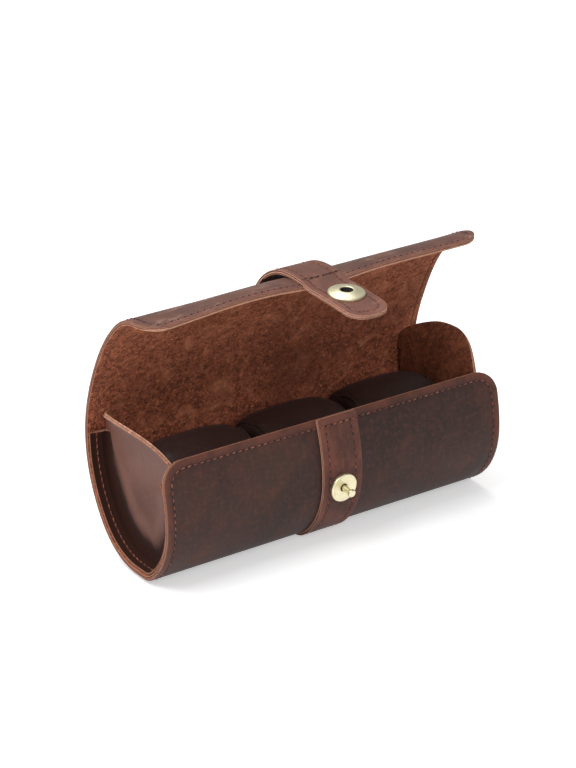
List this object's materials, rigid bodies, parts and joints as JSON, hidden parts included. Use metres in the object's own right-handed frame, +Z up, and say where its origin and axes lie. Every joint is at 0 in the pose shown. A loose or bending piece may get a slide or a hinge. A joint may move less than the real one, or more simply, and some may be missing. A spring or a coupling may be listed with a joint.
{
  "type": "watch travel case",
  "caption": "Cylindrical leather watch roll with a lid that bends open along its back, end panels, loose cushions and a strap that closes on a press lock.",
  "frame": {"origin": "the middle of the flat underside of the strap, on which the case stands", "axes": "+X along the case to its right end, +Y from the front wall to the back wall, +Z up"},
  "size_m": [0.1978, 0.0988, 0.1334],
  "materials": {
    "outer_leather": "oiled, lightly scuffed",
    "strap_leather": "oiled, redder",
    "panel_leather": "smooth with a grey sheen",
    "suede": "napped",
    "cushion_leather": "soft, dark",
    "foam": "foam filling",
    "gold": "pale satin gold"
  },
  "bodies": {
    "tray": {"tray_leather": "outer_leather", "tray_lining": "suede", "left_panel_leather": "panel_leather", "left_panel_lining": "suede", "right_panel_leather": "panel_leather", "right_panel_lining": "suede", "strap_tray": "strap_leather", "stud_base": "gold", "stud_post": "gold", "stud_washer": "gold"},
    "lid_rear": {"lid_rear_leather": "outer_leather", "lid_rear_lining": "suede", "strap_rear": "strap_leather"},
    "lid_crown": {"lid_crown_leather": "outer_leather", "lid_crown_lining": "suede", "strap_crown": "strap_leather"},
    "lid_front": {"lid_front_leather": "outer_leather", "lid_front_lining": "suede", "strap_front": "strap_leather", "strap_front_lining": "strap_leather"},
    "tongue": {"tongue_leather": "strap_leather", "tongue_lining": "strap_leather", "cap_dome": "gold", "cap_socket": "gold", "cap_washer": "gold"},
    "cushion_left": {"cushion_left_cover": "cushion_leather", "cushion_left_core": "foam"},
    "cushion_middle": {"cushion_middle_cover": "cushion_leather", "cushion_middle_core": "foam"},
    "cushion_right": {"cushion_right_cover": "cushion_leather", "cushion_right_core": "foam"}
  },
  "joints": [
    {"name": "lid_bend_rear", "type": "hinge", "parent": "tray", "child": "lid_rear", "pos_m": [0, 0.03789, 0.06446], "axis": [-1, 0, 0], "range_deg": [-46.89, 10]},
    {"name": "lid_bend_crown", "type": "hinge", "parent": "lid_rear", "child": "lid_crown", "pos_m": [0, 0.03053, 0.08906], "axis": [-1, 0, 0], "range_deg": [-14.82, 3.16]},
    {"name": "lid_bend_front", "type": "hinge", "parent": "lid_crown", "child": "lid_front", "pos_m": [0, 0.00365, 0.12405], "axis": [-1, 0, 0], "range_deg": [-19.6, 4.18]},
    {"name": "tongue_bend", "type": "hinge", "parent": "lid_front", "child": "tongue", "pos_m": [0, -0.01956, 0.12976], "axis": [-1, 0, 0], "range_deg": [-9.89, 45]},
    {"name": "cushion_left_lift", "type": "slide", "parent": "tray", "child": "cushion_left", "axis": [0, 0, 1], "range_m": [0, 0.03]},
    {"name": "cushion_middle_lift", "type": "slide", "parent": "tray", "child": "cushion_middle", "axis": [0, 0, 1], "range_m": [0, 0.03]},
    {"name": "cushion_right_lift", "type": "slide", "parent": "tray", "child": "cushion_right", "axis": [0, 0, 1], "range_m": [0, 0.03]}
  ],
  "couplings": [
    {"joint": "lid_bend_crown", "follows": "lid_bend_rear", "ratio": 0.3159},
    {"joint": "lid_bend_front", "follows": "lid_bend_rear", "ratio": 0.4178}
  ]
}
